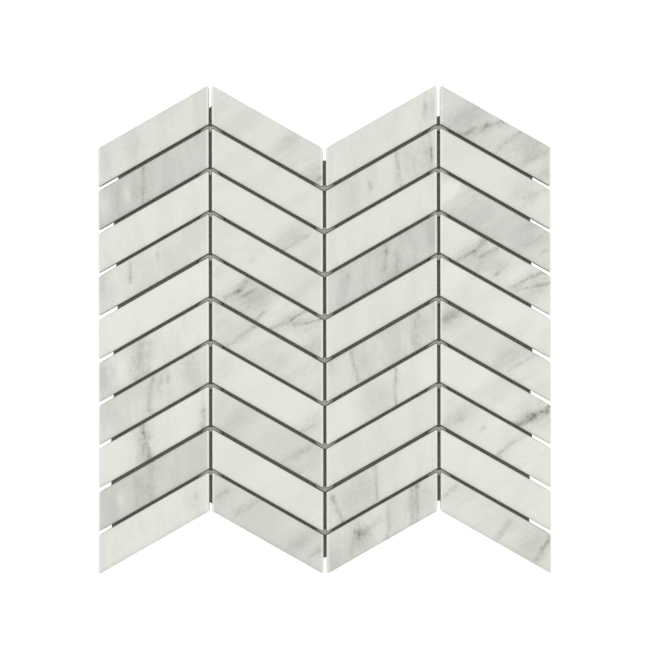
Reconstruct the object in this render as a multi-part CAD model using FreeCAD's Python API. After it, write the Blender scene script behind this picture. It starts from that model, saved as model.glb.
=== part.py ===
import FreeCAD, Part
import math
import os

# Chevron mosaic wall sheet: slanted chips in columns, held on a backing and joined by glue dots.
# Millimetres. The sheet lies face up: X runs across the columns, Y runs up the wall, Z is its thickness.
# The origin is the middle of the back face, under the middle of the sheet.

# Chip, one slanted parallelogram of pressed porcelain
chip_length = 78.5
chip_breadth = 21.1
chip_thickness = 6.0
chip_slant = 29.7
chip_corner_radius = 0.9
chip_edge_radius = 0.7

# Sheet, a grid of chips set one joint apart
columns = 4
rows = 10
joint_width = 1.85

# Backing, cut by hand a little short of the outline so that neighbouring sheets can meet
backing_thickness = 0.6
backing_setback_left = 9.5
backing_setback_right = 11.5
backing_setback_top = 12.0
backing_setback_bottom = 8.0

# Glue dot, squeezed up into the joints where four chips meet
glue_half_length = 5.2
glue_half_height = 2.6
glue_shift = 1.5
glue_below_face = 1.8

# Worked out from the sizes above
slope = math.tan(math.radians(chip_slant))
chip_width = chip_length * math.cos(math.radians(chip_slant))
chip_side = chip_breadth / math.cos(math.radians(chip_slant))
column_pitch = chip_width + joint_width
row_pitch = chip_side + joint_width / math.cos(math.radians(chip_slant))
chip_rise = chip_width * slope
sheet_half_width = (columns * column_pitch - joint_width) / 2
face_height = backing_thickness + chip_thickness


def column_x(column):
    """Middle of a column, counted from 0 at the left."""
    return (column - (columns - 1) / 2) * column_pitch


def row_y(row):
    """Middle of a row, counted from 0 at the top. Halves give the joints between rows."""
    return ((rows - 1) / 2 - row) * row_pitch


def lean(column):
    """1 where the chips climb to the right, -1 where they fall."""
    return 1 if column % 2 == 0 else -1


def joint_x(joint):
    """Upright joint between two columns, counted from 1 at the left."""
    return (column_x(joint - 1) + column_x(joint)) / 2


def chevron_y(x):
    """Height of the chevron's own line at x, over the middle of its row."""
    column = min(columns - 1, max(0, int((x - column_x(0)) / column_pitch + 0.5)))
    return lean(column) * (x - column_x(column)) * slope


def prism(points, bottom, height):
    """Straight-sided solid on a closed outline in X and Y."""
    corners = [FreeCAD.Vector(x, y, bottom) for x, y in points]
    face = Part.Face(Part.makePolygon(corners + corners[:1]))
    return face.extrude(FreeCAD.Vector(0, 0, height))


def rounded(solid, radius, wanted):
    """The solid with a fillet on each edge that is wanted."""
    return solid.makeFillet(radius, [edge for edge in solid.Edges if wanted(edge)])


def is_upright(edge):
    """An edge that runs through the chip's thickness."""
    return edge.BoundBox.ZLength > chip_thickness / 2


def is_on_face(edge):
    """An edge of the glazed face."""
    return edge.BoundBox.ZMin > face_height - chip_edge_radius / 2


def make_chip(column, row):
    """One chip with rounded corners and a soft edge round its face."""
    half_width, half_side = chip_width / 2, chip_side / 2
    half_rise = lean(column) * chip_rise / 2
    outline = [
        (-half_width, -half_rise - half_side),
        (half_width, half_rise - half_side),
        (half_width, half_rise + half_side),
        (-half_width, -half_rise + half_side),
    ]
    chip = prism(outline, backing_thickness, chip_thickness)
    chip = rounded(chip, chip_corner_radius, is_upright)
    chip = rounded(chip, chip_edge_radius, is_on_face)
    chip.translate(FreeCAD.Vector(column_x(column), row_y(row), 0))
    return chip


def make_backing():
    """Thin sheet under the chips, with the chevron's zigzag at its top and bottom."""
    left = backing_setback_left - sheet_half_width
    right = sheet_half_width - backing_setback_right
    end = row_y(0) + chip_side / 2
    across = [left] + [joint_x(joint) for joint in range(1, columns)] + [right]
    top = [(x, chevron_y(x) + end - backing_setback_top) for x in across]
    bottom = [(x, chevron_y(x) - end + backing_setback_bottom) for x in across]
    return prism(top + bottom[::-1], 0, backing_thickness)


def make_glue_dots(joint, chips):
    """One dot at each crossing of an upright joint, pressed against the four chips round it."""
    x = joint_x(joint)
    shift = -glue_shift * lean(joint - 1)
    height = chip_thickness - glue_below_face
    dots = []
    for row in range(1, rows):
        y = row_y(row - 0.5) + chevron_y(x) + shift
        middle = FreeCAD.Vector(x, y, backing_thickness)
        ellipse = Part.Ellipse(
            middle + FreeCAD.Vector(glue_half_length, 0, 0),
            middle + FreeCAD.Vector(0, glue_half_height, 0),
            middle,
        )
        dot = Part.Face(Part.Wire(ellipse.toShape())).extrude(FreeCAD.Vector(0, 0, height))
        around = [chips[column, near] for column in (joint - 1, joint) for near in (row - 1, row)]
        dots.append(dot.cut(around))
    return Part.makeCompound([solid for dot in dots for solid in dot.Solids])


def main():
    os.makedirs("parts", exist_ok=True)
    chips = {(column, row): make_chip(column, row) for column in range(columns) for row in range(rows)}
    for (column, row), chip in chips.items():
        chip.exportStep(f"parts/chip_col{column + 1}_row{row + 1:02d}.step")
    for joint in range(1, columns):
        make_glue_dots(joint, chips).exportStep(f"parts/glue_dots_joint{joint}.step")
    make_backing().exportStep("parts/backing.step")


main()
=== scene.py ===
import bpy
import math
import random
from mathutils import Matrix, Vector


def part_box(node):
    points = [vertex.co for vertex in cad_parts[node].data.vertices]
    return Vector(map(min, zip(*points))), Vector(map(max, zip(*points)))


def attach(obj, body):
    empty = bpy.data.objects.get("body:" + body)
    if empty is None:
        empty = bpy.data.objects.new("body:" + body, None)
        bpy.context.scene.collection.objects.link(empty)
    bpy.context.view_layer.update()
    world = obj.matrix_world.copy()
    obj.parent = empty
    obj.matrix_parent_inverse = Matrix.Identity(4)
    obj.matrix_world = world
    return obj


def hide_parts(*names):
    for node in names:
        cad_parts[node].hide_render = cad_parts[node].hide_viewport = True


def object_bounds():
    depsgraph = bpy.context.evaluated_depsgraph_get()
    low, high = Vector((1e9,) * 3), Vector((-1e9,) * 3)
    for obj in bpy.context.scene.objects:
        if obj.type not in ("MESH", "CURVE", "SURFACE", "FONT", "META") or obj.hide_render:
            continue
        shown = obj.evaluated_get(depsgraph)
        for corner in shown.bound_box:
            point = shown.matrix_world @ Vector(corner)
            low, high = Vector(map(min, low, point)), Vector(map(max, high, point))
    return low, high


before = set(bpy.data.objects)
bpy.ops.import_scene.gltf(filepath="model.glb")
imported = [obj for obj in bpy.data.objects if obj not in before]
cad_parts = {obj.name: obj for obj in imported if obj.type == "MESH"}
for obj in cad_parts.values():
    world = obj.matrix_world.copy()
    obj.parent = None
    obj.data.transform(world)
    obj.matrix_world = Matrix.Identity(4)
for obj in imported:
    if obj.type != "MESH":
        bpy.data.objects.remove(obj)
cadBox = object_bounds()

# A mosaic sheet of slanted marble-look chips, seen from straight above.
# Metres; X runs across the four columns, Y up the wall, Z is the thickness. Prints are in millimetres.

mm = 0.001
sheet = {
    "columns": 4,
    "rows": 10,
    "slantDegrees": 29.7,       # how far each chip leans from level
    "cornerRadius": 0.9 * mm,   # of each chip, seen from above
    "jointWidth": 1.85 * mm,
}
slope = math.tan(math.radians(sheet["slantDegrees"]))
slantCosine = math.cos(math.radians(sheet["slantDegrees"]))


def rowMiddle(column, row):  # how high up the wall a chip's middle lies
    low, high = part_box(f"chip_col{column}_row{row:02d}")
    return (low.y + high.y) / 2


# Sockets as numbers, so that shader and geometry maths read as sums

def pickSocket(sockets, name):
    if name is None:
        return next(s for s in sockets if s.enabled)
    if isinstance(name, int):
        return sockets[name]
    return next(s for s in sockets if s.enabled and s.name == name)


class Wire:
    def __init__(self, tree, socket):
        self.tree = tree
        self.socket = socket

    def other(self, name):  # another output of the same node
        return Wire(self.tree, pickSocket(self.socket.node.outputs, name))

    def maths(self, operation, *values):
        return self.tree.node("ShaderNodeMath", {"operation": operation}, dict(enumerate((self, *values))))

    def vector(self, operation, values, output="Vector"):
        return self.tree.node("ShaderNodeVectorMath", {"operation": operation}, {0: self, **values}, output)

    def __add__(self, other):
        return self.maths("ADD", other)

    def __sub__(self, other):
        return self.maths("SUBTRACT", other)

    def __mul__(self, other):
        return self.maths("MULTIPLY", other)

    def __truediv__(self, other):
        return self.maths("DIVIDE", other)

    def __pow__(self, other):
        return self.maths("POWER", other)

    def __mod__(self, other):
        return self.maths("FLOORED_MODULO", other)

    def __gt__(self, other):
        return self.maths("GREATER_THAN", other)

    def __lt__(self, other):
        return self.maths("LESS_THAN", other)

    def __neg__(self):
        return self.maths("MULTIPLY", -1)

    def __abs__(self):
        return self.maths("ABSOLUTE")

    def __rsub__(self, other):
        return self.tree.node("ShaderNodeMath", {"operation": "SUBTRACT"}, {0: other, 1: self})

    __radd__ = __add__
    __rmul__ = __mul__


class Tree:
    def __init__(self, nodeTree):
        self.nodeTree = nodeTree

    def node(self, kind, settings=None, values=None, output=None):
        made = self.nodeTree.nodes.new(kind)
        for name, value in (settings or {}).items():
            setattr(made, name, value)
        for name, value in (values or {}).items():
            socket = pickSocket(made.inputs, name)
            if isinstance(value, Wire):
                self.nodeTree.links.new(value.socket, socket)
            else:
                socket.default_value = value
        return Wire(self, pickSocket(made.outputs, output)) if len(made.outputs) else made


def clamped(value):
    made = value * 1
    made.socket.node.use_clamp = True
    return made


def smoothStep(value, low, high):
    return value.tree.node("ShaderNodeMapRange", {"interpolation_type": "SMOOTHSTEP"},
                           {"Value": value, "From Min": low, "From Max": high})


def noise(point, scale, detail, roughness):
    return point.tree.node("ShaderNodeTexNoise", {}, {
        "Vector": point, "Scale": scale, "Detail": detail, "Roughness": roughness})


def mixColour(amount, first, second):
    return amount.tree.node("ShaderNodeMix", {"data_type": "RGBA"}, {
        "Factor": amount, "A": first, "B": second})


def newGroup(name, floats):
    group = bpy.data.node_groups.new(name, "GeometryNodeTree")
    for label in floats:
        group.interface.new_socket(label, in_out="INPUT", socket_type="NodeSocketFloat")
    group.interface.new_socket("Finish", in_out="INPUT", socket_type="NodeSocketMaterial")
    group.interface.new_socket("Mesh", in_out="OUTPUT", socket_type="NodeSocketGeometry")
    tree = Tree(group)
    return group, tree, tree.node("NodeGroupInput")


def closeGroup(tree, given, mesh):
    smooth = tree.node("GeometryNodeSetShadeSmooth", {}, {"Geometry": mesh})
    whole = tree.node("GeometryNodeRealizeInstances", {}, {"Geometry": smooth})
    dressed = tree.node("GeometryNodeSetMaterial", {}, {"Geometry": whole, "Material": given.other("Finish")})
    tree.node("NodeGroupOutput", {}, {"Mesh": dressed})


def growPiece(name, group, values):
    seed = bpy.data.meshes.new(name + "Seed")
    piece = bpy.data.objects.new(name, seed)
    bpy.context.scene.collection.objects.link(piece)
    modifier = piece.modifiers.new("grow", "NODES")
    modifier.node_group = group
    for item in group.interface.items_tree:
        if item.in_out == "INPUT":
            modifier[item.identifier] = values[item.name]
    grown = bpy.data.meshes.new_from_object(piece.evaluated_get(bpy.context.evaluated_depsgraph_get()))
    piece.modifiers.remove(modifier)
    piece.data = grown
    grown.name = name
    bpy.data.meshes.remove(seed)
    return piece


def newMaterial(name):
    material = bpy.data.materials.new(name)
    material.use_nodes = True
    material.node_tree.nodes.clear()
    return material, Tree(material.node_tree)


def finishMaterial(tree, values):
    shader = tree.node("ShaderNodeBsdfPrincipled", {}, values)
    tree.node("ShaderNodeOutputMaterial", {}, {"Surface": shader})


def inMillimetres(tree, middle, turn=0.0):  # Object coordinates, from the middle and turned back
    place = tree.node("ShaderNodeTexCoord", {}, {}, "Object")
    scaled = tree.node("ShaderNodeMapping", {"vector_type": "POINT"}, {
        "Vector": place, "Scale": (1 / mm, 1 / mm, 1 / mm), "Location": [-c / mm for c in middle]})
    if not turn:
        return scaled
    return tree.node("ShaderNodeMapping", {"vector_type": "POINT"}, {
        "Vector": scaled, "Rotation": (0, 0, -turn)})


# Camera, light and floor

view = {
    "aim": (0.0048, -0.0018),   # the photo's middle, in X and Y
    "distance": 1.1,            # from the chips' faces
    "turnDegrees": -0.1,        # the sheet lies a hair off square in the photo
    "fieldWidth": 0.4078,       # what the frame spans at the height of the chips' faces
    "sensor": 36.0,             # millimetres, as Blender counts it
}
light = {
    "skyColour": (1.0, 1.0, 0.985),
    "sky": 0.62,
    "softboxSize": 2.2,
    "softboxPlace": (0.0, 0.45, 1.55),
    "softboxPower": 16.0,
    "floorTone": (0.92, 0.92, 0.915, 1),
    "floorRoughness": 0.9,
    "floorGlow": 0.85,
    "floorReach": 6.0,
    "floorDrop": 0.0004,        # a hair under the back face, so that the two don't lie in one plane
}


def makeCamera():
    data = bpy.data.cameras.new("camera")
    data.sensor_width = view["sensor"]
    data.lens = view["sensor"] * view["distance"] / view["fieldWidth"]
    camera = bpy.data.objects.new("camera", data)
    camera.location = (*view["aim"], cadBox[1].z + view["distance"])
    camera.rotation_euler = (0, 0, math.radians(view["turnDegrees"]))
    bpy.context.scene.collection.objects.link(camera)
    bpy.context.scene.camera = camera


def makeLight():
    world = bpy.data.worlds.new("softSky")
    world.use_nodes = True
    sky = world.node_tree.nodes["Background"]
    sky.inputs["Color"].default_value = (*light["skyColour"], 1)
    sky.inputs["Strength"].default_value = light["sky"]
    bpy.context.scene.world = world
    data = bpy.data.lights.new("softbox", "AREA")
    data.shape = "SQUARE"
    data.size = light["softboxSize"]
    data.energy = light["softboxPower"]
    softbox = bpy.data.objects.new("softbox", data)
    softbox.location = light["softboxPlace"]
    softbox.rotation_euler = (-Vector(light["softboxPlace"])).to_track_quat("-Z", "Y").to_euler()
    bpy.context.scene.collection.objects.link(softbox)
    bpy.context.scene.view_settings.view_transform = "Standard"


def makeFloor():
    material, tree = newMaterial("paleFloor")
    pale = tree.node("ShaderNodeBsdfPrincipled", {}, {
        "Base Color": light["floorTone"], "Roughness": light["floorRoughness"],
        "Emission Color": light["floorTone"], "Emission Strength": light["floorGlow"]})
    # clear from below, so that the back of the sheet can be looked at
    below = tree.node("ShaderNodeNewGeometry", {}, {}, "Backfacing")
    clear = tree.node("ShaderNodeBsdfTransparent")
    oneSided = tree.node("ShaderNodeMixShader", {}, {0: below, 1: pale, 2: clear})
    tree.node("ShaderNodeOutputMaterial", {}, {"Surface": oneSided})
    # one triangle, so that no seam of the floor runs under the sheet
    reach, level = light["floorReach"], cadBox[0].z - light["floorDrop"]
    turns = [2 * math.pi * corner / 3 for corner in range(3)]
    corners = [(reach * math.cos(turn), reach * math.sin(turn), level) for turn in turns]
    mesh = bpy.data.meshes.new("floor")
    mesh.from_pydata(corners, [], [(0, 1, 2)])
    mesh.materials.append(material)
    floor = bpy.data.objects.new("floor", mesh)
    bpy.context.scene.collection.objects.link(floor)


makeCamera()
makeLight()
makeFloor()
print("camera, light and floor are set")


# Chips: pressed porcelain with a glazed face, one print each

chip = {
    "cornerPoints": 8,
    "edgeSteps": 5,
    "crownSteps": 4,
    "edgeRadius": 1.0 * mm,
    "footChamfer": 0.35 * mm,
    "draft": 0.12 * mm,         # the back is this much narrower on each side
    "crownDrop": 0.22 * mm,     # how far the glazed face falls towards its edge
    "crownWidth": 3.2 * mm,     # the strip in which it falls
    "levelShare": 0.25,         # a level ring inside it, as a share of its width
    "leastRadius": 0.25 * mm,   # what the corners keep where the outline is drawn in
    "wander": 0.12 * mm,        # how far a chip strays from its place
    "tilt": 0.0012,             # rise over run of a face that isn't quite level
    "printShift": (20, 400),    # how far each chip's patterns are moved, in millimetres
    "seed": 11,
}


def chipProfile(given, ring, rings):
    # from the foot up the wall, round the edge, over the crown and on to a level ring
    foot = clamped(1 - ring)
    below = 1 - clamped(ring - 1)
    bend = clamped((ring - 2) / chip["edgeSteps"])
    crown = clamped((ring - 2 - chip["edgeSteps"]) / chip["crownSteps"])
    last = clamped(ring - (rings - 1))
    lip = math.pi / 2 - math.atan(2 * chip["crownDrop"] / chip["crownWidth"])
    radius, chamfer = given.other("Edge Radius"), given.other("Foot Chamfer")
    crownDrop, crownWidth = given.other("Crown Drop"), given.other("Crown Width")
    inset = (foot * chamfer + below * given.other("Draft") + radius * (1 - (bend * lip).maths("COSINE"))
             + crownWidth * crown + last * (crownWidth * chip["levelShare"]))
    wallTop = given.other("Thickness") - crownDrop - radius * math.sin(lip)
    height = (clamped(ring) * chamfer + clamped(ring - 1) * (wallTop - chamfer)
              + radius * (bend * lip).maths("SINE") + crownDrop * (1 - (1 - crown) ** 2))
    return inset, height


def chipOutline(given, corner, step, inset):
    # each corner is an arc between its two sides, drawn in by the inset
    steep = given.other("Slope")
    lean = steep.maths("ARCTANGENT")
    nearX = 1 - 2 * (corner > 0.5) * (corner < 2.5)
    nearY = 1 - 2 * (corner > 1.5)
    first = corner * (math.pi / 2) + (corner % 2) * lean
    final = (corner + 1) * (math.pi / 2) + ((corner + 1) % 2) * lean
    angle = first + (final - first) * step / (chip["cornerPoints"] - 1)
    radius = (given.other("Corner Radius") - inset).maths("MAXIMUM", chip["leastRadius"])
    deep = inset + radius
    arcX = nearX * (given.other("Half Width") - deep)
    arcY = steep * arcX + nearY * (given.other("Half Side") - deep / slantCosine)
    return arcX + radius * angle.maths("COSINE"), arcY + radius * angle.maths("SINE")


def makeChipTree():
    group, tree, given = newGroup("slantedChip", (
        "Middle X", "Middle Y", "Bottom", "Half Width", "Half Side", "Thickness", "Slope", "Corner Radius",
        "Edge Radius", "Foot Chamfer", "Draft", "Crown Drop", "Crown Width", "Tilt X", "Tilt Y"))
    points = chip["cornerPoints"]
    around = 4 * points
    rings = 3 + chip["edgeSteps"] + chip["crownSteps"]
    block = tree.node("GeometryNodeMeshCylinder", {"fill_type": "NGON"},
                      {"Vertices": around, "Side Segments": rings, "Radius": 1.0, "Depth": 1.0}, "Mesh")
    raw = tree.node("ShaderNodeSeparateXYZ", {}, {"Vector": tree.node("GeometryNodeInputPosition")})
    # which point of which corner a vertex is, and which ring it lies on
    turn = raw.other("Y").maths("ARCTAN2", raw.other("X")) / (2 * math.pi)
    index = (turn * around).maths("ROUND") % around
    corner = (index / points).maths("FLOOR")
    ring = ((raw.other("Z") + 0.5) * rings).maths("ROUND")
    inset, height = chipProfile(given, ring, rings)
    x, y = chipOutline(given, corner, index - corner * points, inset)
    tilt = clamped(ring - 1) * (x * given.other("Tilt X") + y * given.other("Tilt Y"))
    place = tree.node("ShaderNodeCombineXYZ", {}, {
        "X": x + given.other("Middle X"), "Y": y + given.other("Middle Y"),
        "Z": given.other("Bottom") + height + tilt})
    shaped = tree.node("GeometryNodeSetPosition", {}, {"Geometry": block, "Position": place})
    closeGroup(tree, given, shaped)
    return group


# What is printed on each chip, in millimetres from its middle.
# grey: how grey the whole face is. clouds: how strong the soft bands are.
# patches: x, y, size, strength, which lightens where it is below nought. spots: the same, in the veins' tone.
# veins: x and y of one end, x and y of the other, width, strength.
prints = {
    "chip_col1_row01": {"grey": 0.30, "clouds": 0.20, "patches": [(-14, -5, 8, 0.24), (-29, -17, 6, 0.24)]},
    "chip_col1_row02": {"grey": 0.66, "clouds": 0.18,
                        "patches": [(-15.8, -9.4, 4, -0.42), (-2, 2, 5, 0.14), (-11, -6, 5, 0.25),
                                    (-30, -17, 5, -0.36)],
                        "veins": [(-21.5, -22, -21.5, -4, 0.9, 0.13), (-6, -15, -6.4, 7, 1.0, 0.30)]},
    "chip_col1_row03": {"grey": 0.14, "clouds": 0.12},
    "chip_col1_row04": {"grey": 0.28, "clouds": 0.20, "patches": [(8, 2, 8, 0.25), (-30, -16, 8, 0.30)],
                        "spots": [(2.7, 5.3, 1.7, 0.38)], "veins": [(-14, 1, -14.3, -10, 1.1, 0.26)]},
    "chip_col1_row05": {"grey": 0.02, "clouds": 0.10},
    "chip_col1_row06": {"grey": 0.14, "clouds": 0.20,
                        "patches": [(-30, -16.5, 7, 0.58), (-20, -11, 3.5, -0.25), (-10, -6, 6, 0.30)],
                        "veins": [(-8, 5, -9.5, -16, 3.0, 0.25), (-2.5, 6, -3, -12, 2.4, 0.14)]},
    "chip_col1_row07": {"grey": 0.32, "clouds": 0.24,
                        "patches": [(25, 12, 10, 0.30), (-26, -15, 7, 0.12), (10.5, -1.5, 3.5, 0.22)],
                        "spots": [(4.9, 8, 1.8, 0.30), (9, 9.5, 1.8, 0.32)],
                        "veins": [(-1.2, 11, -2.8, -9, 1.6, 0.32), (0, 10, 3.5, 2, 1.2, 0.16)]},
    "chip_col1_row08": {"grey": 0.03, "clouds": 0.10,
                        "veins": [(-7.8, 6.5, -6.2, -12.5, 3.8, 0.25), (-6.4, 7, -5.5, 0, 1.5, 0.24),
                                  (-4.4, -2.5, -2.1, -12.5, 1.7, 0.26), (30.2, 28, 30.2, 18, 0.9, 0.16),
                                  (30.7, 16, 30.4, 5, 1.0, 0.42)]},
    "chip_col1_row09": {"grey": 0.52, "clouds": 0.12,
                        "patches": [(-20, -11.5, 3.2, -0.38), (-28, -16, 7, 0.18), (-6, -3, 5, 0.22)],
                        "veins": [(-10.5, -14, -10.5, 2, 1.6, 0.15), (-1.8, -12, -1.6, 9, 1.5, 0.24)]},
    "chip_col1_row10": {"grey": 0.06, "clouds": 0.14, "patches": [(26, 14, 7, 0.34)],
                        "spots": [(26.4, 16.8, 1.4, 0.20)]},
    "chip_col2_row01": {"grey": 0.30, "clouds": 0.20, "patches": [(11.6, -5, 7, 0.42), (29, -22, 7, 0.42)],
                        "spots": [(32.2, -26.4, 2.3, 0.60)]},
    "chip_col2_row02": {"grey": 0.22, "clouds": 0.10},
    "chip_col2_row03": {"grey": 0.18, "clouds": 0.12, "patches": [(14, -9, 9, 0.38), (29, -18, 8, 0.24)],
                        "veins": [(27, -7, 10, -17.5, 1.0, 0.21)]},
    "chip_col2_row04": {"grey": 0.19, "clouds": 0.12, "patches": [(23, -14, 10, 0.20)],
                        "spots": [(-9.2, 2.5, 1.4, 0.18)]},
    "chip_col2_row05": {"grey": 0.20, "clouds": 0.20,
                        "patches": [(-6, 5, 10, 0.52), (-17, 8, 7, 0.28), (7, 1, 4, -0.1),
                                    (30, -23, 8, 0.40)],
                        "veins": [(-12.8, 16.6, -18.2, 10.8, 1.7, 0.38), (-18.2, 10.8, -26.4, 6.2, 1.6, 0.36),
                                  (-7, 11.2, -14.6, 7, 1.2, 0.32), (-2, -2, -7, -6.5, 1.0, 0.36),
                                  (23, -1.6, 13.8, -6.4, 0.8, 0.42), (11.4, -7.8, 3, -12.4, 1.1, 0.32),
                                  (33, -6.4, 22.8, -9.2, 0.8, 0.46), (21, -9.4, 17.6, -9.8, 0.9, 0.26),
                                  (15.4, -9.8, 9.5, -9.8, 1.4, 0.16)]},
    "chip_col2_row06": {"grey": 0.30, "clouds": 0.20, "patches": [(7, -7.7, 7, 0.30), (-28, 17, 7, 0.22)],
                        "veins": [(-7.8, 15.5, -25, 3, 0.9, 0.30)]},
    "chip_col2_row07": {"grey": 0.11, "clouds": 0.12, "patches": [(29, -18, 8, 0.20), (-26, 14, 8, 0.22)],
                        "veins": [(28, -19, 21.5, -22.6, 0.9, 0.30)]},
    "chip_col2_row08": {"grey": 0.40, "clouds": 0.16, "patches": [(-19.5, 12.5, 6.5, 0.23), (0, -1, 6, 0.14)],
                        "veins": [(27, -6, 10, -14.5, 2.2, 0.19), (30, -16, 20, -21, 2.0, 0.08)]},
    "chip_col2_row09": {"grey": 0.11, "clouds": 0.10},
    "chip_col2_row10": {"grey": 0.40, "clouds": 0.12, "patches": [(19.5, -12.5, 6, 0.42), (-29, 16, 6, 0.14)],
                        "veins": [(-25, 20, -32, 16, 1.1, 0.26), (-6, 13.5, -19, 6.5, 1.5, 0.22),
                                  (31, -16, 25, -21, 1.1, 0.32)]},
    "chip_col3_row01": {"grey": 0.21, "clouds": 0.14, "patches": [(31.5, 18, 4.5, 0.40)],
                        "spots": [(27.6, 17, 1.6, 0.30)], "veins": [(27, 27, 26.6, 9, 1.1, 0.17)]},
    "chip_col3_row02": {"grey": 0.30, "clouds": 0.18, "patches": [(20, 10, 8, 0.28), (-18, -9, 8, 0.18)],
                        "spots": [(-7.2, -4.5, 1.9, 0.36), (30.8, 12.2, 1.3, 0.34), (30.3, 15, 1.1, 0.50),
                                  (30.3, 17.8, 1.0, 0.45)],
                        "veins": [(9, 16, 11.3, -5, 1.2, 0.25), (29.2, 27, 30, 9, 2.2, 0.24)]},
    "chip_col3_row03": {"grey": 0.19, "clouds": 0.12, "veins": [(-19.6, -4, -19.6, -15, 0.9, 0.10)]},
    "chip_col3_row04": {"grey": 0.69, "clouds": 0.30,
                        "patches": [(17, 9, 3.5, -0.32), (28, 17, 7, 0.10), (-28, -16, 7, -0.12)],
                        "spots": [(-20.3, -7, 1.4, 0.32), (2.6, 8, 1.6, 0.25)],
                        "veins": [(2.6, 13, 2.2, -4, 1.6, 0.28), (9.5, 6, 9.3, -4, 1.6, 0.20)]},
    "chip_col3_row05": {"grey": 0.17, "clouds": 0.10},
    "chip_col3_row06": {"grey": 0.42, "clouds": 0.28,
                        "patches": [(-8, -6, 8, 0.25), (28, 16, 7, 0.25), (-12.5, 1.2, 4, -0.26)],
                        "spots": [(20.3, 17.3, 1.2, 0.25)],
                        "veins": [(-19.4, -1, -14.8, -17.5, 1.2, 0.30), (21.2, 24, 20.3, 3, 2.2, 0.24)]},
    "chip_col3_row07": {"grey": 0.12, "clouds": 0.12,
                        "patches": [(2, -1, 7, 0.34), (-8, -3, 10, 0.30), (28, 16, 7, -0.22)],
                        "veins": [(8.6, 15.5, 8, -7, 1.0, 0.34)]},
    "chip_col3_row08": {"grey": 0.20, "clouds": 0.10},
    "chip_col3_row09": {"grey": 0.17, "clouds": 0.14, "patches": [(-11, -6, 9, 0.36), (-21, -12, 8, 0.32)],
                        "veins": [(-29.8, -11, -23.6, -27, 1.1, 0.45), (-4.5, 9, -3.1, -11, 0.8, 0.32)]},
    "chip_col3_row10": {"grey": 0.18, "clouds": 0.22,
                        "patches": [(28, 17, 8, 0.40), (-30, -20, 8, 0.45), (-13, -9, 6, 0.56),
                                    (-7, -11.5, 4, 0.28)],
                        "spots": [(-10.6, -4.4, 1.5, 0.20), (-16.2, -6.7, 1.5, 0.16), (21.2, 23, 1.6, 0.34)],
                        "veins": [(-17.6, -4.8, -14.4, -7.8, 1.3, 0.22), (-14.8, -6.0, -9.2, -6.2, 1.7, 0.20),
                                  (-14, -8, -18.4, -18, 2.9, 0.20), (-8.2, -3, -2.2, 2.5, 1.1, 0.20),
                                  (4.1, 12, 3.7, -10, 1.6, 0.22), (18, 24, 18.5, 0, 1.2, 0.26),
                                  (20.8, 26, 22, 2, 1.1, 0.34)]},
    "chip_col4_row01": {"grey": 0.32, "clouds": 0.16,
                        "patches": [(-20, 10, 13, 0.50), (20, -4, 9, 0.30), (24.5, -17.5, 4, -0.20),
                                    (26, -13, 6, 0.18), (31, -24, 4.5, 0.36)],
                        "spots": [(-5.5, 6, 2.0, 0.46), (-15.8, 2.8, 2.0, 0.34)],
                        "veins": [(4, 8.9, -21, 0.4, 2.0, 0.30), (15, 2.2, 0.4, -8.6, 1.2, 0.25),
                                  (26, -4.5, 17, -18.4, 2.4, 0.13), (32.5, -10.6, 19, -15.8, 1.4, 0.14)]},
    "chip_col4_row02": {"grey": 0.21, "clouds": 0.10, "patches": [(15, -8, 7, 0.26), (29, -15, 6, -0.12)],
                        "veins": [(32, -6, 18, -12, 1.2, 0.19), (24, -12, 15, -18, 1.2, 0.10)]},
    "chip_col4_row03": {"grey": 0.51, "clouds": 0.24,
                        "patches": [(-8, 4, 13, 0.12), (-31, 18, 6, -0.95), (13, -7, 8, 0.32)],
                        "spots": [(29.5, -18.4, 1.5, 0.25)], "veins": [(28, -9.5, 18, -14.4, 1.4, 0.14)]},
    "chip_col4_row04": {"grey": 0.14, "clouds": 0.12,
                        "patches": [(-8, 4, 10, 0.44), (-18, 8, 7, 0.16), (1, -1, 5, 0.36),
                                    (13, -7, 5, -0.34), (24, -17, 8, 0.30), (-10.5, -2.8, 4, 0.26),
                                    (-4, 11.2, 2.4, -0.32)],
                        "spots": [(0.6, -5.8, 1.3, 0.26), (-9.6, 4.8, 1.3, 0.18)],
                        "veins": [(-7.5, 14.4, -13.8, 8.3, 1.6, 0.34), (-13.8, 8.3, -23.4, 3.2, 1.5, 0.28),
                                  (0, 10.2, -9.8, 4.6, 1.1, 0.30), (6.5, -0.6, -0.5, -7.2, 1.1, 0.20),
                                  (33, -3.8, 21.8, -7.4, 0.9, 0.36), (19.4, -8.6, 9, -13.7, 1.0, 0.32),
                                  (34, -10.4, 27.4, -12.9, 0.9, 0.34), (25.6, -13.2, 19.5, -14, 0.9, 0.30),
                                  (18, -14.4, 10, -16, 1.3, 0.20)]},
    "chip_col4_row05": {"grey": 0.08, "clouds": 0.14, "patches": [(-18, 9, 10, 0.12)]},
    "chip_col4_row06": {"grey": 0.22, "clouds": 0.22, "patches": [(-30, 19, 7, 0.65), (8, -4, 10, 0.32)],
                        "veins": [(-22.5, 24.4, -32.5, 18.8, 1.2, 0.32), (25, -2, 8, -12, 1.0, 0.18)]},
    "chip_col4_row07": {"grey": 0.09, "clouds": 0.16,
                        "patches": [(1.7, 5, 9, 0.28), (31, -17, 5, 0.20), (-13, 8, 6, -0.2)],
                        "veins": [(33.5, -7.4, 31.6, -9.6, 1.8, 0.34), (29.8, -10.9, 23.8, -13.2, 1.9, 0.42),
                                  (22.8, -13.6, 13.4, -18.6, 2.2, 0.52)]},
    "chip_col4_row08": {"grey": 0.04, "clouds": 0.16, "patches": [(-25, 12, 9, 0.56), (-28, 22, 4, 0.24)],
                        "spots": [(-21.7, 10.6, 1.9, 0.22), (-8.2, 5.2, 1.7, 0.26)],
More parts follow.
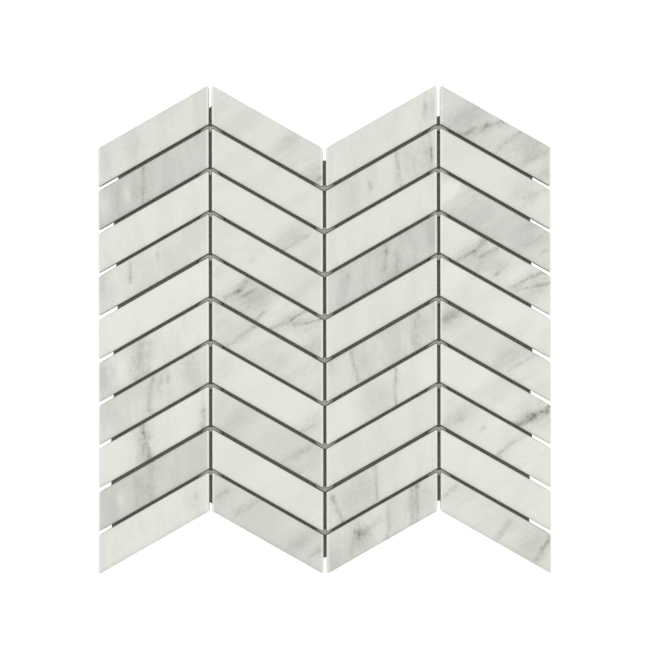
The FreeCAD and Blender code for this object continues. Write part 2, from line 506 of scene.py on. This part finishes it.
                        "veins": [(18.2, 1.3, 11.4, -2.2, 1.3, 0.16), (8.6, -4, 1.6, -11.4, 1.0, 0.34)]},
    "chip_col4_row09": {"grey": 0.07, "clouds": 0.12},
    "chip_col4_row10": {"grey": 0.21, "clouds": 0.14, "patches": [(20, -13, 8, 0.36)],
                        "veins": [(-25, 23, -33, 16, 1.4, 0.25), (7.6, -0.4, 0.4, -9, 1.5, 0.27),
                                  (32.6, -9, 25, -22.4, 1.2, 0.44)]},
}
glaze = {
    "white": (0.766, 0.772, 0.715, 1),
    "grey": (0.452, 0.464, 0.428, 1),
    # whiter than the glaze: a painted highlight for the rounded upright ends
    "paintedHighlightTone": (0.860, 0.870, 0.820, 1),
    "vein": (0.20, 0.20, 0.155, 1),
    # the bare body, kept dark: partly its own colour, partly painted shade on the side walls
    "biscuitAndShade": (0.22, 0.215, 0.190, 1),
    "biscuitPaleAndShade": (0.30, 0.295, 0.260, 1),
    "veinTurnDegrees": 65,      # from the chip's long side, anticlockwise
    # each noise: scale per millimetre, detail, roughness
    "cloudNoise": (0.075, 4, 0.55),
    "grainNoise": (0.45, 3, 0.6),
    "fineNoise": (0.42, 4, 0.62),
    "gritNoise": (1.5, 2, 0.6),
    "warpNoise": (0.13, 3, 0.5),
    "swellNoise": (0.10, 1, 0.5),
    "fibreNoise": (0.8, 3, 0.6),
    "rippleNoise": (0.35, 2, 0.5),
    "peelNoise": (3.0, 2, 0.5),
    "cloudStretch": 0.35,       # along the veins; the less, the longer
    "fibreStretch": 0.14,
    "cloudEdges": ((0.34, 0.66), (0.46, 0.54)),     # soft and sharp
    "sharpShare": 0.3,          # share of the clouds that have sharp edges
    "swellEdges": (0.3, 0.7),
    "fibreEdges": (0.30, 0.66),
    # how much each shows: always, and on top for a chip's own clouds
    "cloudShow": (0, 1.1),
    "grainShow": (0.02, 0.70),
    # the same, for a chip's own grey
    "fineShow": (0.24, 0.14),
    "gritShow": (0.08, 0.26),
    # the same, for the fine noise
    "patchShow": (0.5, 1.0),
    "spotShow": (0.3, 1.4),
    "patchAxes": (1.5, 0.75),   # along and across the veins, as shares of the size
    "warpSize": 1.3,            # millimetres that a vein strays
    "speckle": 0.05,            # faint dark grain on every chip
    "veinCore": 1.2,            # the core's reach, in widths
    "veinSwell": (0.6, 0.9),    # share of its width that a vein always has, and on top where it swells
    "hazeReach": (1.6, 1.8),    # millimetres, and on top in widths
    "hazeShow": (0.24, 0.30),   # always, and on top along the fibres
    "streaks": 0.6,             # how far fibres break up a vein of 1 mm
    "mostStreaks": 0.58,
    "veinMottle": (0.9, 0.3),   # how the fine noise and the grit break up a vein's tone
    "printMargin": (0.1, 1.3),  # millimetres from an upright end where the print comes in
    "printLeft": 0.2,           # what is left of it outside
    "endPaintedHighlight": (0.3, 1.9),       # from the brightest painted highlight to the plain glaze, in millimetres from an upright end
    "endPaintedHighlightStrength": 0.8,
    "sidePaintedShade": (0.3, 3.2),    # from the deepest painted shade to plain, in millimetres from a long side
    "sidePaintedShadeStrength": 0.09,
    "glazeAndShadeLine": 5.24,          # millimetres above the foot, where the glaze gives way to the bare body on the rounded edge; the grey band this lays on the edge is painted shade
    "glazeRagged": 0.4,         # how far that line wanders
    "glazeFade": (-0.20, 0.45),     # from glazed to bare and painted shade, in millimetres below the line
    "endGlazeDrop": 0.37,       # how much lower it runs on the upright ends, keeping the painted shade off their edges
    "endGlazeReach": (0.7, 1.3),    # from there to the plain line, in millimetres from an upright end
    "biscuitMottle": 1.4,
    # heights in millimetres
    "rippleHeight": 0.010,
    "peelHeight": 0.0009,
    "clayGrain": 0.05,
    "glazeDepth": 0.06,
    "bump": 0.6,
    "roughness": 0.34,
    "rippleRoughness": 0.10,
    "bareRoughness": 0.45,
    "ior": 1.5,
    "coat": 0.25,
    "coatRoughness": 0.18,
}


def shown(key, amount):  # what always shows, and what the amount adds
    always, onTop = glaze[key]
    return always + onTop * amount


def veinMask(point, vein, swell, fibres):
    x0, y0, x1, y1, width, strength = vein
    start, along = Vector((x0, y0, 0)), Vector((x1 - x0, y1 - y0, 0))
    offset = point.vector("SUBTRACT", {1: start})
    share = clamped(offset.vector("DOT_PRODUCT", {1: along / along.length_squared}, "Value"))
    foot = point.tree.node("ShaderNodeVectorMath", {"operation": "SCALE"}, {0: along, "Scale": share})
    distance = offset.vector("SUBTRACT", {1: foot}).vector("LENGTH", {}, "Value")
    core = (-(distance / (swell * width * glaze["veinCore"])) ** 2).maths("EXPONENT")
    haze = (-distance / shown("hazeReach", width)).maths("EXPONENT")
    streaks = min(glaze["mostStreaks"], glaze["streaks"] / width)    # a broad vein is smoother
    return (core * (1 - streaks + streaks * fibres) + haze * shown("hazeShow", fibres)) * strength


def patchMask(point, patch, bearing):
    x, y, size, strength = patch
    length, breadth = (size * share for share in glaze["patchAxes"])
    offset = point.vector("SUBTRACT", {1: Vector((x, y, 0))})
    along = offset.vector("DOT_PRODUCT", {1: Vector((math.cos(bearing), math.sin(bearing), 0))}, "Value")
    across = offset.vector("DOT_PRODUCT", {1: Vector((-math.sin(bearing), math.cos(bearing), 0))}, "Value")
    return (-((along / length) ** 2 + (across / breadth) ** 2)).maths("EXPONENT") * strength


def makePatterns(point, flow, shift):
    # clouds and grain run with the veins
    stretched = flow.vector("MULTIPLY", {1: (glaze["cloudStretch"], 1, 1)}).vector("ADD", {1: (shift, 0, 0)})
    moved = point.vector("ADD", {1: (0, shift, 0)})
    return {
        "clouds": noise(stretched, *glaze["cloudNoise"]),
        "grain": noise(stretched, *glaze["grainNoise"]),
        "fine": noise(moved, *glaze["fineNoise"]),
        "grit": noise(moved, *glaze["gritNoise"]),
    }


def strayFrom(point, shift):
    # bends what is drawn there, so that no vein is straight
    size = glaze["warpSize"] * 2
    stray = noise(point.vector("ADD", {1: (shift, shift, 0)}), *glaze["warpNoise"]).other("Color")
    offset = stray.vector("SUBTRACT", {1: (0.5, 0.5, 0.5)}).vector("MULTIPLY", {1: (size, size, 0)})
    return point.vector("ADD", {1: offset}).vector("MULTIPLY", {1: (1, 1, 0)})


def printGrey(look, patterns, strayed, bearing):
    clouds, grain, fine, grit = patterns.values()
    soft, sharp = (smoothStep(clouds, *edges) for edges in glaze["cloudEdges"])
    bands = soft * (1 - glaze["sharpShare"]) + sharp * glaze["sharpShare"]
    grey = (look["grey"] + (bands - 0.5) * shown("cloudShow", look["clouds"])
            + (grain - 0.5) * shown("grainShow", look["clouds"])
            + (fine - 0.5) * shown("fineShow", look["grey"]) + (grit - 0.5) * shown("gritShow", look["grey"]))
    for patch in look.get("patches", []):
        grey = grey + patchMask(strayed, patch, bearing) * shown("patchShow", fine)
    return grey


def printVeins(look, patterns, strayed, bearing, point, flow, shift):
    grain, fine, grit = patterns["grain"], patterns["fine"], patterns["grit"]
    veins = (grain - 0.5) * glaze["speckle"]
    for spot in look.get("spots", []):
        veins = veins + patchMask(strayed, spot, bearing) * shown("spotShow", fine)
    swell = noise(point.vector("ADD", {1: (shift, 0, 0)}), *glaze["swellNoise"])
    swell = shown("veinSwell", smoothStep(swell, *glaze["swellEdges"]))
    fibres = noise(flow.vector("MULTIPLY", {1: (glaze["fibreStretch"], 1, 1)}), *glaze["fibreNoise"])
    fibres = smoothStep(fibres, *glaze["fibreEdges"])
    byFine, byGrit = glaze["veinMottle"]
    mottle = clamped((fine - 0.5) * byFine + (grit - 0.5) * byGrit + 0.5) * 2
    for vein in look.get("veins", []):
        veins = veins + veinMask(strayed, vein, swell, fibres) * mottle
    return veins


def makeGlaze(name, middle, lean, halfWidth, halfSide, thickness, shift):
    look = prints[name]
    bearing = lean * math.radians(sheet["slantDegrees"]) + math.radians(glaze["veinTurnDegrees"])
    material, tree = newMaterial("glaze_" + name.removeprefix("chip_"))
    point = inMillimetres(tree, middle)
    flow = inMillimetres(tree, middle, bearing)
    patterns = makePatterns(point, flow, shift)
    fine = patterns["fine"]
    strayed = strayFrom(point, shift)
    grey = printGrey(look, patterns, strayed, bearing)
    veins = printVeins(look, patterns, strayed, bearing, point, flow, shift)
    # the print fades at the upright ends; painted shade greys the long sides, and a painted highlight whitens
    # the upright ends
    axes = tree.node("ShaderNodeSeparateXYZ", {}, {"Vector": point})
    ends = halfWidth / mm - abs(axes.other("X"))
    sides = (halfSide / mm - abs(axes.other("Y") - axes.other("X") * (lean * slope))) * slantCosine
    printed = smoothStep(ends, *glaze["printMargin"]) * (1 - glaze["printLeft"]) + glaze["printLeft"]
    # painted shade along the long sides, where the rounded edge falls away
    grey = grey + (1 - smoothStep(sides, *glaze["sidePaintedShade"])) * glaze["sidePaintedShadeStrength"]
    face = mixColour(clamped(grey * printed), glaze["white"], glaze["grey"])
    # painted highlight on the rounded upright ends
    endPaintedHighlight = (1 - smoothStep(ends, *glaze["endPaintedHighlight"])) * glaze["endPaintedHighlightStrength"]
    face = mixColour(endPaintedHighlight, face, glaze["paintedHighlightTone"])
    face = mixColour(clamped(veins * printed), face, glaze["vein"])
    # bare porcelain below the glaze line, its dark tone partly the body's own and partly painted shade on the
    # walls and the rounded edge
    nearEnd = 1 - smoothStep(ends, *glaze["endGlazeReach"])
    line = (glaze["glazeAndShadeLine"] - thickness / mm / 2 + (fine - 0.5) * glaze["glazeRagged"]
            - nearEnd * glaze["endGlazeDrop"])
    bareAndShade = smoothStep(line - axes.other("Z"), *glaze["glazeFade"])
    clay = clamped((fine - 0.5) * glaze["biscuitMottle"] + 0.5)
    colour = mixColour(bareAndShade, face, mixColour(clay, glaze["biscuitAndShade"], glaze["biscuitPaleAndShade"]))
    # a satin skin with the faint ripple of a glaze, and the grain of pressed clay
    ripple = noise(point, *glaze["rippleNoise"])
    peel = noise(point, *glaze["peelNoise"])
    height = (ripple * glaze["rippleHeight"] + peel * glaze["peelHeight"]
              + bareAndShade * (fine * glaze["clayGrain"] - glaze["glazeDepth"]))
    bump = tree.node("ShaderNodeBump", {}, {"Strength": glaze["bump"], "Distance": mm, "Height": height})
    rough = glaze["roughness"] + (ripple - 0.5) * glaze["rippleRoughness"] + bareAndShade * glaze["bareRoughness"]
    finishMaterial(tree, {
        "Base Color": colour, "Normal": bump, "Roughness": rough, "IOR": glaze["ior"],
        "Coat Weight": (1 - bareAndShade) * glaze["coat"], "Coat Roughness": glaze["coatRoughness"]})
    return material


def makeChips():
    group = makeChipTree()
    dice = random.Random(chip["seed"])
    for column in range(1, sheet["columns"] + 1):
        lean = 1 if column % 2 else -1
        for row in range(1, sheet["rows"] + 1):
            name = f"chip_col{column}_row{row:02d}"
            low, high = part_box(name)
            middle = (low + high) / 2
            halfWidth = (high.x - low.x) / 2
            radius = sheet["cornerRadius"]
            # the box ends at the rounded corners, and the half side at the sharp ones
            halfSide = (high.y - low.y) / 2 - slope * (halfWidth - radius) + radius / slantCosine - radius
            strayX = dice.uniform(-0.5, 0.5) * chip["wander"]
            strayY = dice.uniform(-1, 1) * chip["wander"]
            tiltX = dice.uniform(-1, 1) * chip["tilt"]
            tiltY = dice.uniform(-1, 1) * chip["tilt"]
            shift = dice.uniform(*chip["printShift"])
            # a chip at the sheet's edge doesn't stray outwards
            if column in (1, sheet["columns"]):
                strayX = 0.0
            if row == 1:
                strayY = -abs(strayY)
            if row == sheet["rows"]:
                strayY = abs(strayY)
            # a tilted chip is that much thinner, so that its highest corner stays level with the rest
            rise = abs(tiltX) * halfWidth + abs(tiltY) * (halfWidth * slope + halfSide)
            finish = makeGlaze(name, middle, lean, halfWidth, halfSide, high.z - low.z, shift)
            piece = growPiece(name + "_glazed", group, {
                "Middle X": middle.x + strayX, "Middle Y": middle.y + strayY, "Bottom": low.z,
                "Half Width": halfWidth, "Half Side": halfSide, "Thickness": high.z - low.z - rise,
                "Slope": lean * slope, "Corner Radius": radius, "Edge Radius": chip["edgeRadius"],
                "Foot Chamfer": chip["footChamfer"], "Draft": chip["draft"], "Crown Drop": chip["crownDrop"],
                "Crown Width": chip["crownWidth"], "Tilt X": tiltX, "Tilt Y": tiltY, "Finish": finish})
            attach(piece, "root")
            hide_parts(name)


makeChips()
print("chips are laid")


# Glue dots: soft blobs squeezed into the crossings

glue = {
    "perJoint": 9,
    "cutX": 27, "cutY": 9, "cutZ": 4,       # points each way in one dot's block
    # the next three: in valleys, and in peaks
    "halfLength": (6.8 * mm, 7.9 * mm),
    "belowFace": (1.3 * mm, 0.9 * mm),
    "sit": (0.04, -0.11),       # share of half the joint that it lies off the middle
    "lengthVaries": (0.82, 1.08),   # least and greatest share
    "armsDiffer": 0.12,         # share that one arm may gain and the other lose
    "heightVaries": (0.86, 1.0),
    "bendRound": 1.5 * mm,      # how softly the spine turns at the crossing
    "armsBack": 0.25 * mm,      # brings the arms back to the middle of their joints
    "squeeze": 0.06 * mm,       # how far it fills in beside the chips' drafted walls
    "tipWidth": 0.5,            # share of the width that is left at the tips
    "tipFall": 0.75,            # share of the height that is lost there
    "stub": 2.2 * mm,           # how far it creeps along the upright joint
    "stubHalfWidth": 0.95 * mm,
    "stubUp": (0.45, 0.95),     # least and greatest share of the stub, above in valleys
    "stubDown": (0.7, 1.3),     # and below in peaks
    "valleyStubDown": 0.2,      # and below in valleys
    "stubFall": 0.14,           # share of the height that is lost at the stub
    "notch": 0.8,               # how deep the upper side dips over a peak's crossing
    "crossFall": (0.10, 0.05),  # how much lower its long sides are, and on top at the stub
    "cloudNoise": (0.6, 3, 0.6),
    "thick": (0.33, 0.328, 0.282, 1),
    # lighter than the glue's own tone: painted light for its low parts
    "paintedLightLow": (0.38, 0.378, 0.324, 1),
    "paintedLightFrom": (3.4, 5.2),    # from the lighter tone low down, which is painted light against the shade in the joint, to the plain one, in millimetres above the back
    "toneShares": (0.7, 0.4),   # by the height and by the clouds
    "bump": 0.5,
    "bumpHeight": 0.12,         # millimetres
    "roughness": (0.30, 0.2),   # and what the clouds add
    "coat": 0.3,
    "coatRoughness": 0.2,
}


def scatterLumps(tree, given):
    # one block for each crossing: each vertex keeps its place within it and the block's number
    lump = tree.node("GeometryNodeMeshCube", {}, {
        "Size": (2, 2, 2), "Vertices X": glue["cutX"], "Vertices Y": glue["cutY"],
        "Vertices Z": glue["cutZ"]}, "Mesh")
    lump = tree.node("GeometryNodeStoreNamedAttribute", {"data_type": "FLOAT_VECTOR", "domain": "POINT"},
                     {"Geometry": lump, "Name": "within", "Value": tree.node("GeometryNodeInputPosition")})
    line = tree.node("GeometryNodeMeshLine", {}, {"Count": given.other("Count")})
    line = tree.node("GeometryNodeStoreNamedAttribute", {"data_type": "FLOAT", "domain": "POINT"},
                     {"Geometry": line, "Name": "dot", "Value": tree.node("GeometryNodeInputIndex")})
    dots = tree.node("GeometryNodeInstanceOnPoints", {}, {"Points": line, "Instance": lump})
    whole = tree.node("GeometryNodeRealizeInstances", {}, {"Geometry": dots})
    place = tree.node("GeometryNodeInputNamedAttribute", {"data_type": "FLOAT_VECTOR"}, {"Name": "within"})
    within = tree.node("ShaderNodeSeparateXYZ", {}, {"Vector": place})
    dot = tree.node("GeometryNodeInputNamedAttribute", {"data_type": "FLOAT"}, {"Name": "dot"})
    return whole, within, dot


def makeGlueTree():
    group, tree, given = newGroup("glueDots", (
        "Joint X", "Top Y", "Pitch", "Count", "Bottom", "Height", "Half Length", "Stub", "Joint Width",
        "Bend", "Slope", "Sit", "Seed"))
    whole, within, dot = scatterLumps(tree, given)

    def chance(low, high, salt):
        return tree.node("FunctionNodeRandomValue", {"data_type": "FLOAT"},
                         {"Min": low, "Max": high, "ID": dot, "Seed": given.other("Seed") + salt})

    # along, across and up the block, from -1 to 1
    a, b, c = within.other("X"), within.other("Y"), within.other("Z")
    longer = chance(-glue["armsDiffer"], glue["armsDiffer"], 2)
    x = a * (given.other("Half Length") * (chance(*glue["lengthVaries"], 1) + a.maths("SIGN") * longer))
    # the spine follows the chevron, with a soft turn at the crossing
    bend, steep, sit, stub = (given.other(name) for name in ("Bend", "Slope", "Sit", "Stub"))
    soft = (x ** 2 + glue["bendRound"] ** 2).maths("SQRT") - glue["armsBack"]
    channel = given.other("Joint Width") / 2 / slantCosine + glue["squeeze"]
    spine = sit * channel - bend * steep * soft
    # two arms, and a stub at the crossing
    tip = (1 - abs(a) ** 6).maths("SQRT") * (1 - glue["tipWidth"]) + glue["tipWidth"]
    thick = channel * (1 - abs(sit)) * tip
    bell = (-(x / glue["stubHalfWidth"]) ** 4).maths("EXPONENT")
    peak = bend > 0
    upper = (thick * (1 - glue["notch"] * bell * peak)
             + bell * stub * chance(*glue["stubUp"], 3) * (1 - peak))
    lower = (thick + bell * stub * chance(*glue["stubDown"], 4)
             * (glue["valleyStubDown"] + (1 - glue["valleyStubDown"]) * peak))
    y = spine + b * (upper * (b > 0) + lower * (b < 0))
    # a dome that falls off to the tips and the long sides
    sideFall, stubSideFall = glue["crossFall"]
    dome = ((1 - glue["tipFall"] * abs(a) ** 4 - glue["stubFall"] * bell)
            * (1 - (sideFall + stubSideFall * bell) * b ** 2) * chance(*glue["heightVaries"], 5))
    z = given.other("Bottom") + (c + 1) / 2 * given.other("Height") * dome
    place = tree.node("ShaderNodeCombineXYZ", {}, {
        "X": x + given.other("Joint X"), "Y": y + given.other("Top Y") - dot * given.other("Pitch"), "Z": z})
    shaped = tree.node("GeometryNodeSetPosition", {}, {"Geometry": whole, "Position": place})
    closeGroup(tree, given, shaped)
    return group


def makeSetGlue():
    material, tree = newMaterial("setGlue")
    point = inMillimetres(tree, (0, 0, 0))
    cloudy = noise(point, *glue["cloudNoise"])
    height = smoothStep(tree.node("ShaderNodeSeparateXYZ", {}, {"Vector": point}, "Z"), *glue["paintedLightFrom"])
    byHeight, byClouds = glue["toneShares"]
    # lighter low in the joint: painted light that lifts the shade there
    colour = mixColour(clamped(height * byHeight + cloudy * byClouds), glue["paintedLightLow"], glue["thick"])
    bump = tree.node("ShaderNodeBump", {}, {
        "Strength": glue["bump"], "Distance": mm, "Height": cloudy * glue["bumpHeight"]})
    plain, clouded = glue["roughness"]
    finishMaterial(tree, {
        "Base Color": colour, "Normal": bump, "Roughness": plain + cloudy * clouded,
        "Coat Weight": glue["coat"], "Coat Roughness": glue["coatRoughness"]})
    return material


def makeGlue():
    material = makeSetGlue()
    group = makeGlueTree()
    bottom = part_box("backing")[1].z
    for joint in range(1, sheet["columns"]):
        node = f"glue_dots_joint{joint}"
        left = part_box(f"chip_col{joint}_row01")
        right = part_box(f"chip_col{joint + 1}_row01")
        bend = 1 if joint % 2 else -1    # 1 in peaks
        pitch = rowMiddle(joint, 1) - rowMiddle(joint, 2)
        reach = (left[1].x - left[0].x + sheet["jointWidth"]) / 2
        piece = growPiece(node + "_set", group, {
            "Joint X": (left[1].x + right[0].x) / 2, "Pitch": pitch, "Count": glue["perJoint"],
            "Top Y": rowMiddle(joint, 1) - pitch / 2 + bend * slope * reach,
            "Bottom": bottom, "Height": left[1].z - bottom - glue["belowFace"][joint % 2],
            "Half Length": glue["halfLength"][joint % 2], "Stub": glue["stub"],
            "Joint Width": sheet["jointWidth"], "Bend": bend, "Slope": slope, "Sit": glue["sit"][joint % 2],
            "Seed": joint * 10, "Finish": material})
        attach(piece, "root")
        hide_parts(node)


makeGlue()
print("glue dots are set")


# Backing: a closely woven scrim, cut by hand a little short of the chips

backing = {
    # millimetres from the chips' ends to the cut, from the top joint down
    "leftSetback": (12.0, 9.2, 10.7, 11.4, 8.9, 8.9, 7.4, 7.4, 7.7),
    "rightSetback": (10.9, 12.3, 11.7, 11.7, 11.1, 12.3, 11.4, 12.9, 13.2),
    # the same at the top and the bottom: left, middle and right in each upright joint
    "topSetback": ((14.3, 13.5, 12.7), (6.8, 6.8, 6.8), (19.0, 19.9, 19.2)),
    "bottomSetback": ((4.7, 4.2, 3.8), (10.3, 10.5, 10.9), (5.4, 5.4, 5.4)),
    "cutHalfWidth": 1.1 * mm,   # from the middle of an upright joint to those at its left and right
    "hiddenStep": 4 * mm,       # the side cuts run straight this far above and below each joint
    "weavePitch": 1.25,         # millimetres between threads
    "cloudNoise": (0.12, 3, 0.55),
    "fibreNoise": (2.4, 3, 0.6),
    "fibreStretch": 4,
    "weaveWander": (0.5, 0.12),     # how far the threads stray in X and in Y, in pitches
    "crimp": 0.45,              # how much a thread dips where another crosses it
    "thread": (0.495, 0.495, 0.425, 1),
    # darker where the threads dip: painted shade in the weave's hollows
    "gapShade": (0.220, 0.220, 0.185, 1),
    "toneShares": (0.8, 0.8, 0.5),  # by the weave, the fibres and the clouds
    # a film of set glue evens out the weave on top
    "film": 0.5,
    "filmFrom": (0.1, 0.5),     # from none to whole, in millimetres above the back
    "filmTone": 0.43,           # between the gap and the thread
    "bump": 0.9,
    "weaveHeight": 0.22,        # millimetres
    "fibreHeight": 0.05,
    "roughness": (0.72, 0.2),   # and what the fibres add
}


def makeScrim():
    material, tree = newMaterial("wovenScrim")
    point = inMillimetres(tree, (0, 0, 0))
    cloudy = noise(point, *backing["cloudNoise"])
    fibre = noise(point.vector("MULTIPLY", {1: (1, 1, backing["fibreStretch"])}), *backing["fibreNoise"])
    axes = tree.node("ShaderNodeSeparateXYZ", {}, {"Vector": point})
    # threads counted along X and Y
    wanderX, wanderY = backing["weaveWander"]
    u = axes.other("X") / backing["weavePitch"] + (cloudy - 0.5) * wanderX
    v = axes.other("Y") / backing["weavePitch"] + (fibre - 0.5) * wanderY
    over = (u.maths("FLOOR") + v.maths("FLOOR")) % 2
    acrossU = ((u % 1 - 0.5) * math.pi).maths("COSINE")
    acrossV = ((v % 1 - 0.5) * math.pi).maths("COSINE")
    warp = acrossU * (1 - backing["crimp"] + acrossV * backing["crimp"])
    weft = acrossV * (1 - backing["crimp"] + acrossU * backing["crimp"])
    height = over * warp + (1 - over) * weft
    # the tone follows the weave's height, a painted shade in its hollows
    byWeave, byFibre, byClouds = backing["toneShares"]
    woven = height * byWeave + (fibre - 0.5) * byFibre + (cloudy - 0.5) * byClouds
    film = smoothStep(axes.other("Z"), *backing["filmFrom"]) * backing["film"]
    tone = clamped(woven + (backing["filmTone"] - woven) * film)
    bump = tree.node("ShaderNodeBump", {}, {
        "Strength": backing["bump"], "Distance": mm,
        "Height": height * backing["weaveHeight"] + fibre * backing["fibreHeight"]})
    plain, fibrous = backing["roughness"]
    finishMaterial(tree, {
        "Base Color": mixColour(tone, backing["gapShade"], backing["thread"]), "Normal": bump,
        "Roughness": plain + fibre * fibrous})
    return material


def endCut(jointX, ends, setbacks, inwards):
    # three points across each upright joint
    cuts = (-backing["cutHalfWidth"], 0, backing["cutHalfWidth"])
    return [(x + cut, end + inwards * setback * mm)
            for x, end, three in zip(jointX, ends, setbacks) for cut, setback in zip(cuts, three)]


def sideCut(edge, inwards, heights, setbacks):
    # two points for each slanted joint, so that the cut runs straight across it
    steps = (backing["hiddenStep"], -backing["hiddenStep"])
    return [(edge + inwards * setback * mm, height + setback * mm * slope + step)
            for height, setback in zip(heights, setbacks) for step in steps]


def cutOutline():
    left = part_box("chip_col1_row01")[0].x
    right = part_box(f"chip_col{sheet['columns']}_row01")[1].x
    columnPitch = (right - left + sheet["jointWidth"]) / sheet["columns"]
    rowPitch = rowMiddle(1, 1) - rowMiddle(1, 2)
    halfSide = (rowPitch - sheet["jointWidth"] / slantCosine) / 2
    peak = columnPitch / 2 * slope
    joints = range(1, sheet["columns"])
    jointX = [left - sheet["jointWidth"] / 2 + joint * columnPitch for joint in joints]
    swing = [peak if joint % 2 else -peak for joint in joints]
    topEnds = [rowMiddle(1, 1) + halfSide + rise for rise in swing]
    bottomEnds = [rowMiddle(1, 1) - (sheet["rows"] - 1) * rowPitch - halfSide + rise for rise in swing]
    heights = [rowMiddle(1, 1) - (row - 0.5) * rowPitch - peak for row in range(1, sheet["rows"])]
    # clockwise from the top left
    return (endCut(jointX, topEnds, backing["topSetback"], -1)
            + sideCut(right, -1, heights, backing["rightSetback"])
            + endCut(jointX, bottomEnds, backing["bottomSetback"], 1)[::-1]
            + sideCut(left, 1, heights, backing["leftSetback"])[::-1])


def makeBacking():
    low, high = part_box("backing")
    outline = cutOutline()
    count = len(outline)
    corners = [(x, y, z) for z in (low.z, high.z) for x, y in outline]
    faces = [tuple(range(count)), tuple(range(2 * count - 1, count - 1, -1))]
    faces += [(i, i + count, (i + 1) % count + count, (i + 1) % count) for i in range(count)]
    mesh = bpy.data.meshes.new("backing")
    mesh.from_pydata(corners, [], faces)
    mesh.materials.append(makeScrim())
    piece = bpy.data.objects.new("backing_scrim", mesh)
    bpy.context.scene.collection.objects.link(piece)
    # the sheet's own size: the outline's reach both ways, and what it encloses
    area = abs(sum(x0 * y1 - x1 * y0 for (x0, y0), (x1, y1) in zip(outline, outline[1:] + outline[:1]))) / 2
    xs, ys = [x for x, y in outline], [y for x, y in outline]
    flat = (max(xs) - min(xs), max(ys) - min(ys))
    print("backing is cut from", [round(size, 4) for size in flat], "with an area of", round(area, 5))
    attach(piece, "root")
    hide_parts("backing")


makeBacking()
print("backing is cut and laid")
